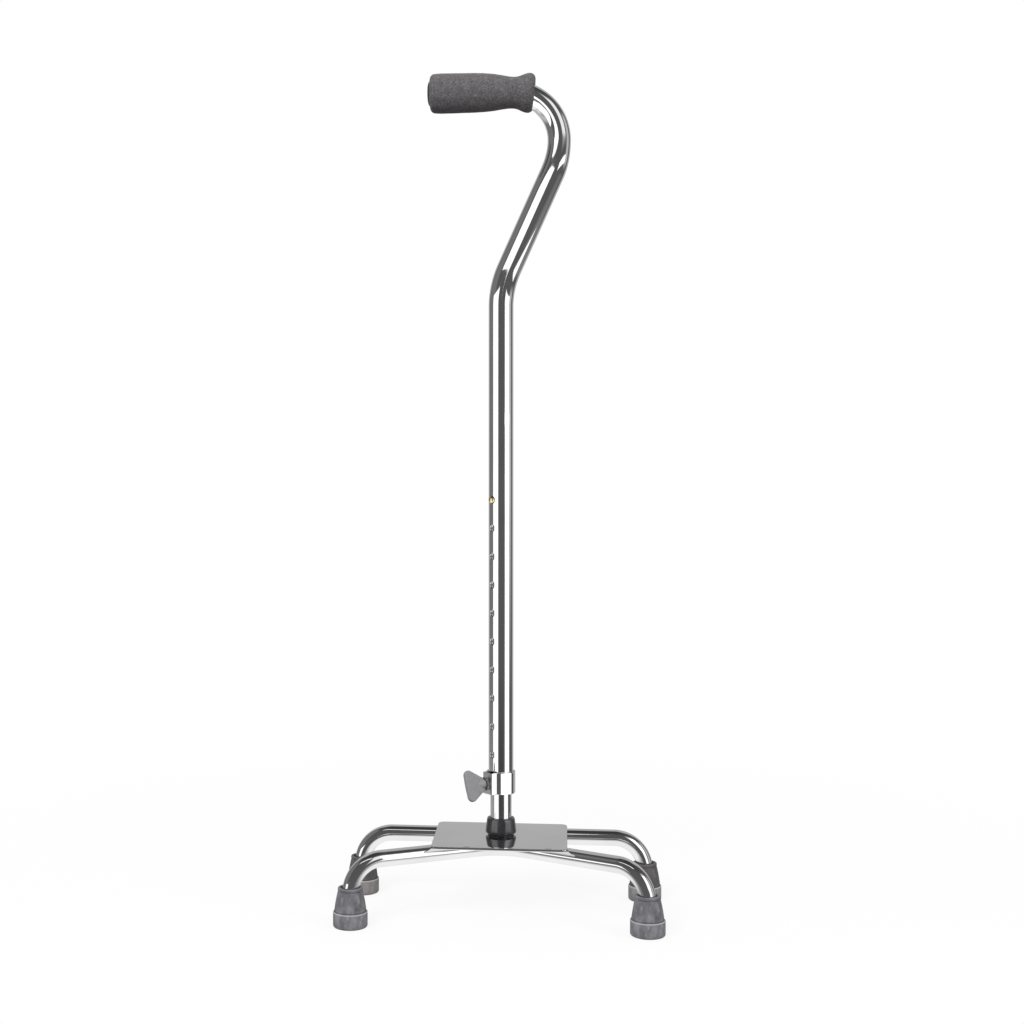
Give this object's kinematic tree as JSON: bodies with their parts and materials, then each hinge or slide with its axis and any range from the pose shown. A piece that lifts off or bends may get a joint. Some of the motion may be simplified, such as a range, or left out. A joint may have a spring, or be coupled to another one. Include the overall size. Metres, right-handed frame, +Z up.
{
  "type": "quad walking cane",
  "caption": "Height-adjustable chromed walking cane with a swan-neck handle in foam, on a wide base whose bent tube legs end in rubber tips.",
  "frame": {"origin": "on the floor, at the middle of the rectangle of the four feet's outlines", "axes": "+Z up; +X to the side the neck bulges towards, the handle points to -X; -Y is the side that the front legs splay to"},
  "size_m": [0.2908, 0.1384, 0.7521],
  "materials": {
    "chromed_tube": "bright chrome plate on bent steel tube",
    "chromed_plate": "bright chrome plate on flat steel",
    "chromed_strap": "bright chrome plate on folded strip",
    "plain_steel": "zinc-plated steel",
    "cast_zinc": "as-cast zinc, satin light grey",
    "brass": "yellow zinc-plated dome",
    "foam": "closed-cell foam rubber, matt charcoal",
    "grey_rubber": "moulded rubber, matt grey",
    "black_rubber": "moulded rubber, semi-gloss black",
    "dark_plastic": "moulded plug, dark"
  },
  "bodies": {
    "base": {"base_plate": "chromed_plate", "stem_tube": "chromed_tube", "stem_boot": "black_rubber", "front_leg": "chromed_tube", "rear_leg": "chromed_tube", "tip_front_left": "grey_rubber", "tip_front_right": "grey_rubber", "tip_rear_left": "grey_rubber", "tip_rear_right": "grey_rubber", "tip_washer_front_left": "plain_steel", "tip_washer_front_right": "plain_steel", "tip_washer_rear_left": "plain_steel", "tip_washer_rear_right": "plain_steel", "weld_bead_front_left": "plain_steel", "weld_bead_front_right": "plain_steel", "weld_bead_rear_left": "plain_steel", "weld_bead_rear_right": "plain_steel", "button_spring": "plain_steel"},
    "upper": {"handle_tube": "chromed_tube", "foam_grip": "foam", "tube_end_plug": "dark_plastic", "clamp_collar": "chromed_strap", "clamp_nut": "plain_steel"},
    "button": {"snap_button": "brass"},
    "screw_carrier": {"thumb_screw_washer": "plain_steel"},
    "thumb_screw": {"thumb_screw_wing": "cast_zinc", "thumb_screw_stud": "plain_steel"}
  },
  "joints": [
    {"name": "height_slide", "type": "slide", "parent": "base", "child": "upper", "axis": [0, 0, 1], "range_m": [0, 0.2286], "deforming": ["snap_button"]},
    {"name": "button_press", "type": "slide", "parent": "base", "child": "button", "axis": [0.6947, 0.7193, 0], "range_m": [0, 0.0042], "stiffness_N_per_m": 1500, "springref_m": -0.002, "deforming": ["button_spring"]},
    {"name": "screw_travel", "type": "slide", "parent": "upper", "child": "screw_carrier", "axis": [-0.7314, -0.682, 0], "range_m": [0, 0.0026]},
    {"name": "screw_turn", "type": "hinge", "parent": "screw_carrier", "child": "thumb_screw", "pos_m": [0, 0.0157, 0.1137], "axis": [-0.7314, -0.682, 0], "range_deg": [0, 720]}
  ],
  "couplings": [
    {"joint": "screw_travel", "follows": "screw_turn", "m_per_rad": 0.00020213}
  ]
}
